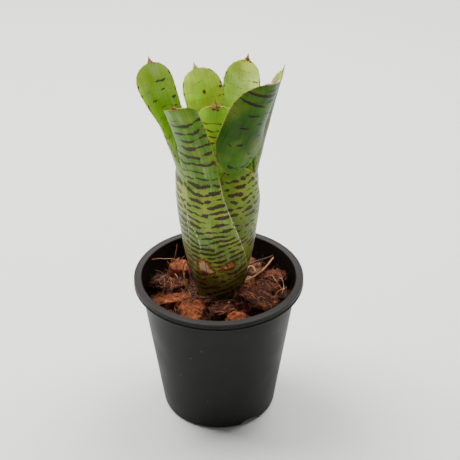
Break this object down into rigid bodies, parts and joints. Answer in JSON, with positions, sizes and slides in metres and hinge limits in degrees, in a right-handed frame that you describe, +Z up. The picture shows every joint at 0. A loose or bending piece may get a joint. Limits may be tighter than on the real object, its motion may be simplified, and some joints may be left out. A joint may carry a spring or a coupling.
{
  "type": "potted bromeliad",
  "caption": "Tubular bromeliad with banded strap leaves rolled into an urn, standing in a tapered nursery pot of coconut husk chips.",
  "frame": {"origin": "middle of the pot's underside, on the surface it stands on", "axes": "+Z up along the pot's axis, -Y towards the front, +X to the right seen from the front"},
  "size_m": [0.12, 0.12, 0.2778],
  "materials": {
    "pot": "matte",
    "husk_bed": "matte",
    "husk_chip": "matte",
    "stem": "matte",
    "leaf": "satin"
  },
  "bodies": {
    "root": {"pot": "pot", "husk_bed": "husk_bed", "stem": "stem", "leaf_front_left": "leaf", "leaf_front_right": "leaf", "leaf_left": "leaf", "leaf_right": "leaf", "leaf_back_left": "leaf", "leaf_back_right": "leaf", "leaf_centre": "leaf", "leaf_heart": "leaf", "husk_chip_01": "husk_chip", "husk_chip_02": "husk_chip", "husk_chip_03": "husk_chip", "husk_chip_04": "husk_chip", "husk_chip_05": "husk_chip", "husk_chip_06": "husk_chip", "husk_chip_07": "husk_chip", "husk_chip_08": "husk_chip", "husk_chip_09": "husk_chip", "husk_chip_10": "husk_chip", "husk_chip_11": "husk_chip", "husk_chip_12": "husk_chip", "husk_chip_13": "husk_chip", "husk_chip_14": "husk_chip", "husk_chip_15": "husk_chip", "husk_chip_16": "husk_chip", "husk_chip_17": "husk_chip"}
  },
  "joints": []
}
